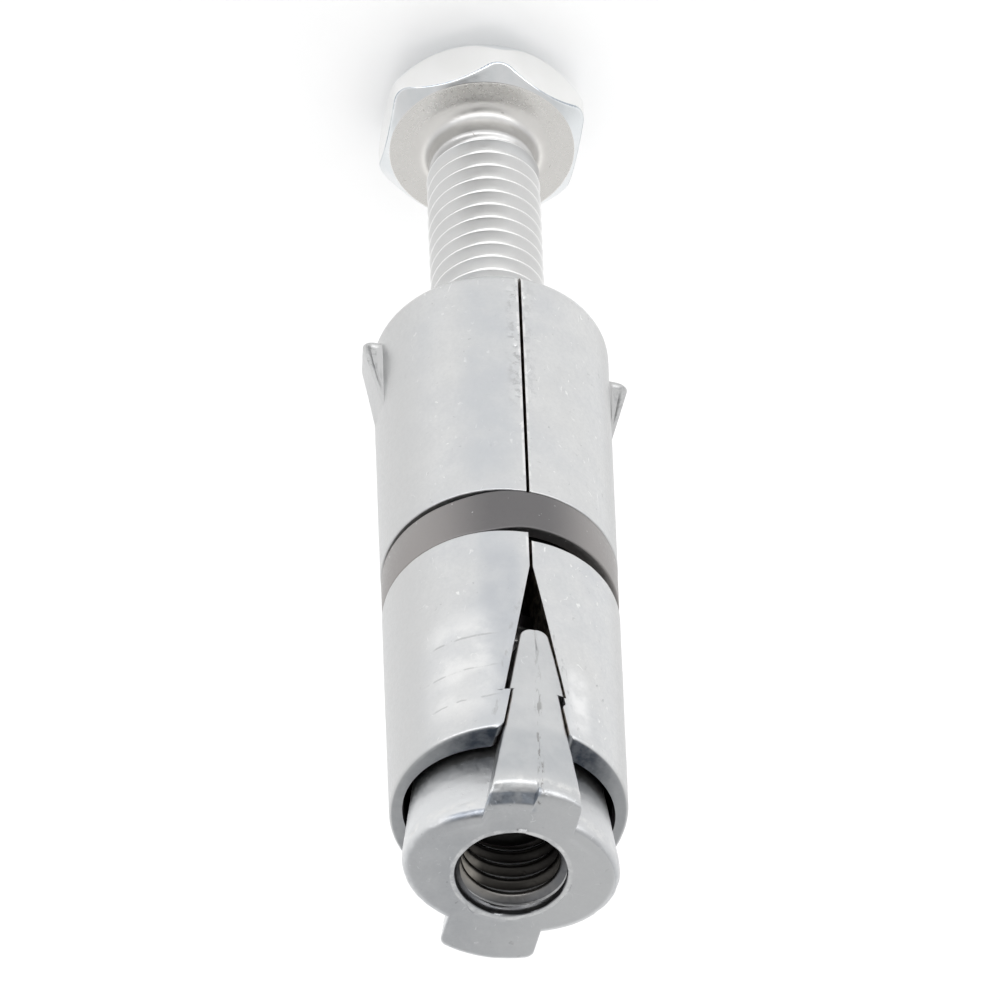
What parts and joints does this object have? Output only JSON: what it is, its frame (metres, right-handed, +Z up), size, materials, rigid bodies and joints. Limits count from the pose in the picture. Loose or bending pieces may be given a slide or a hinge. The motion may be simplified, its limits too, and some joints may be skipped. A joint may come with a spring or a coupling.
{
  "type": "expansion shield",
  "caption": "Masonry anchor: hex bolt through a split die-cast shell that a cone nut wedges open, held by a retaining ring, fins against turning.",
  "frame": {"origin": "bottom centre of the bounding box: on the surface that the head stands on, in the bolt's axis", "axes": "+Z runs up the bolt's axis from its head to the cone nut, +X points across the seam to the right half, +Y points along the seam, to the side that the picture shows"},
  "size_m": [0.0142, 0.0122, 0.0586],
  "materials": {
    "zinc_plated_steel": "polished",
    "cast_shell": "satin",
    "cast_nut": "satin",
    "dark_band": "matte"
  },
  "bodies": {
    "band": {"retaining_ring": "dark_band"},
    "bolt": {"hex_bolt": "zinc_plated_steel"},
    "nut": {"cone_nut": "cast_nut"},
    "left_half": {"shell_left": "cast_shell"},
    "right_half": {"shell_right": "cast_shell"}
  },
  "joints": [
    {"name": "bolt_turn", "type": "hinge", "parent": "band", "child": "bolt", "pos_m": [0, 0, 0.0198], "axis": [0, 0, 1], "range_deg": [0, 1440]},
    {"name": "nut_draw", "type": "slide", "parent": "band", "child": "nut", "axis": [0, 0, -1], "range_m": [0, 0.004]},
    {"name": "left_spread", "type": "hinge", "parent": "band", "child": "left_half", "pos_m": [0, 0, 0.0198], "axis": [0, -1, 0], "range_deg": [0, 1.5], "deforming": ["retaining_ring"]},
    {"name": "right_spread", "type": "hinge", "parent": "band", "child": "right_half", "pos_m": [0, 0, 0.0198], "axis": [0, 1, 0], "range_deg": [0, 1.5], "deforming": ["retaining_ring"]}
  ],
  "couplings": [
    {"joint": "nut_draw", "follows": "bolt_turn", "m_per_rad": 0.00015915},
    {"joint": "left_spread", "follows": "bolt_turn", "ratio": 0.0010417},
    {"joint": "right_spread", "follows": "bolt_turn", "ratio": 0.0010417}
  ]
}
